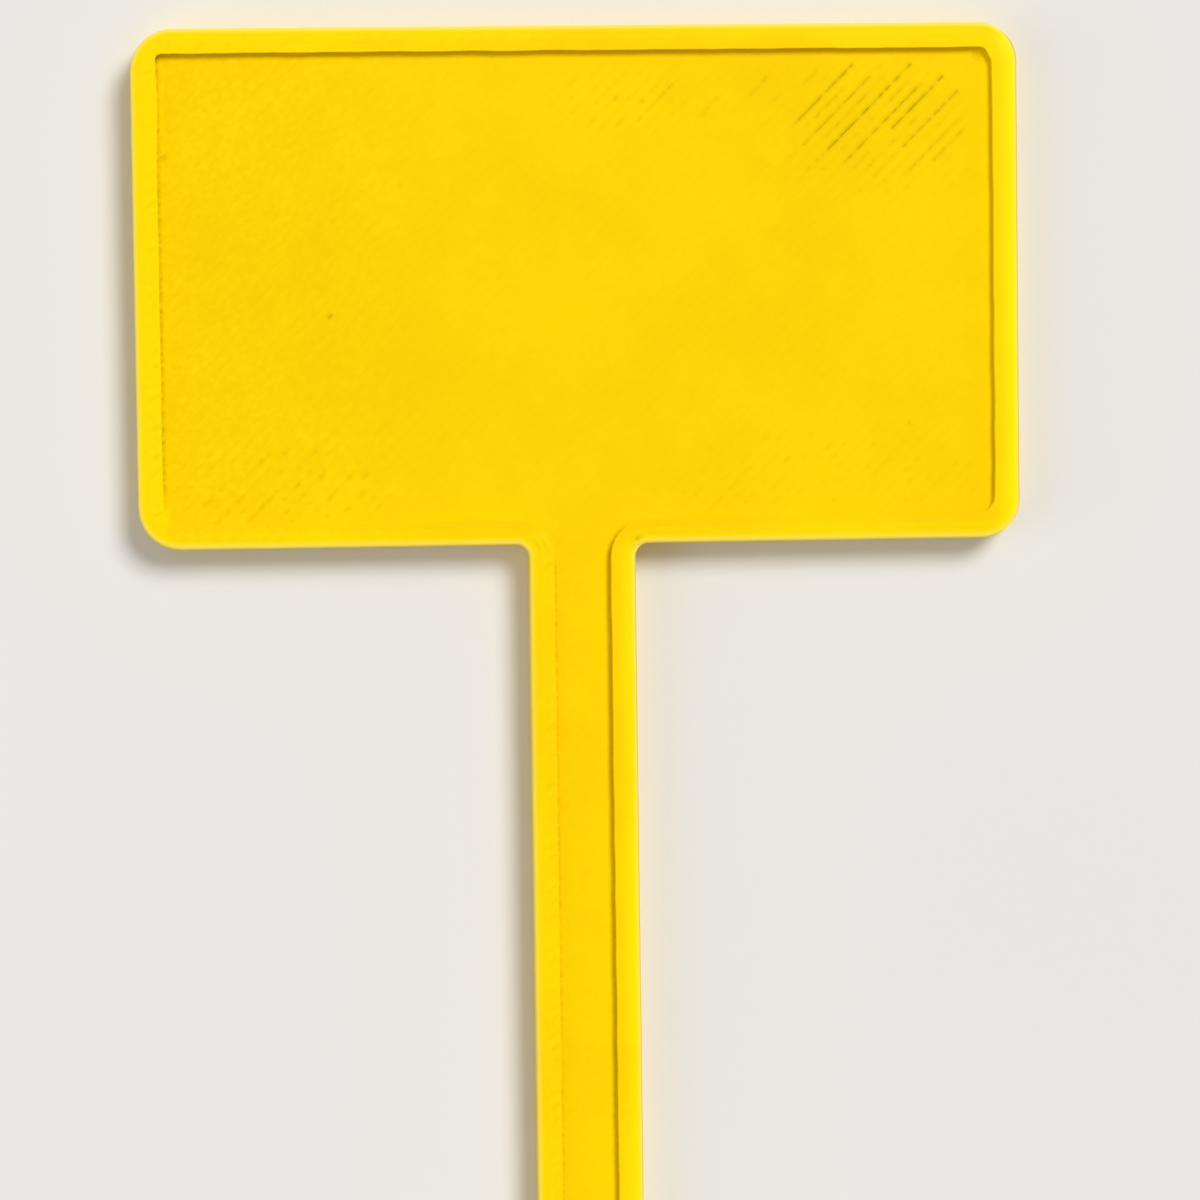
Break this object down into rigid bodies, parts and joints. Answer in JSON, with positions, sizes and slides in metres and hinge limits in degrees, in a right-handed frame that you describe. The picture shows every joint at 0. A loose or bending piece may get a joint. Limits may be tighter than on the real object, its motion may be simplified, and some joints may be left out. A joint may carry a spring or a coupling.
{
  "type": "plant label stake",
  "caption": "Flat printed plant label: a wide rectangular writing head with a low raised rim, on a narrow ribbed stem that ends in a point for the soil.",
  "frame": {"origin": "centre of the label's back face, midway between the head's top edge and the point's tip", "axes": "+Y along the stem towards the head's top edge, +Z out of the writing face, +X across the head"},
  "size_m": [0.0332, 0.08, 0.0015],
  "materials": {
    "yellow_plastic": "printed satin, lines along the edge",
    "yellow_face": "printed satin, diagonal lines"
  },
  "bodies": {
    "root": {"head_rim": "yellow_plastic", "head_plate": "yellow_plastic", "head_face": "yellow_face", "stem_strip": "yellow_plastic", "stem_face": "yellow_face", "left_rib": "yellow_plastic", "right_rib": "yellow_plastic", "point": "yellow_plastic"}
  },
  "joints": []
}
